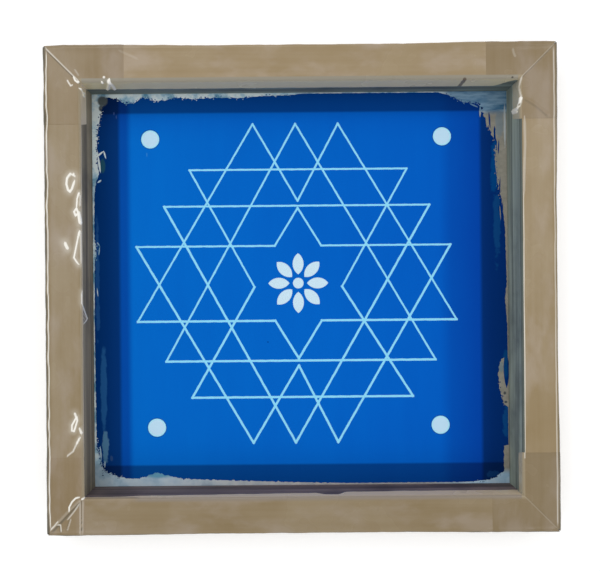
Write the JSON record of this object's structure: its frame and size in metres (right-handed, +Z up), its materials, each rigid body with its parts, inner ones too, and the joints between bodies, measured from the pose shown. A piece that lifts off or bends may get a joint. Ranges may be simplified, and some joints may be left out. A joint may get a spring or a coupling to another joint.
{
  "type": "screen printing frame",
  "caption": "Square mitred wooden screen printing frame, wrapped in packing tape, with a mesh stretched underneath that carries a stencil of photo emulsion.",
  "frame": {"origin": "middle of the underside, which is the printing side", "axes": "+X to the right rail and +Y to the head rail, looking down into the ink well; +Z up, out of the well"},
  "size_m": [0.3052, 0.291, 0.0254],
  "materials": {
    "wood": "sawn softwood, greyed by use",
    "nail_steel": "bright wire nails",
    "mesh": "plain-woven polyester monofilament, stretched",
    "emulsion": "dried blue photo emulsion, semi-matt",
    "staple_steel": "galvanised wire staples",
    "packing_tape": "tan polypropylene packing tape, glossy, creased"
  },
  "bodies": {
    "root": {"head_rail": "wood", "foot_rail": "wood", "left_rail": "wood", "right_rail": "wood", "corner_nails_head_left": "nail_steel", "corner_nails_head_right": "nail_steel", "corner_nails_foot_left": "nail_steel", "corner_nails_foot_right": "nail_steel", "printing_mesh": "mesh", "emulsion_stencil": "emulsion", "mesh_staples_head": "staple_steel", "mesh_staples_foot": "staple_steel", "mesh_staples_left": "staple_steel", "mesh_staples_right": "staple_steel", "print_tape_head": "packing_tape", "print_tape_foot": "packing_tape", "print_tape_left": "packing_tape", "print_tape_right": "packing_tape", "face_tape_head": "packing_tape", "face_tape_foot": "packing_tape", "face_tape_left": "packing_tape", "face_tape_right": "packing_tape", "corner_patch_head_left": "packing_tape", "corner_patch_head_right": "packing_tape", "corner_patch_foot_left": "packing_tape", "corner_patch_foot_right": "packing_tape"}
  },
  "joints": []
}
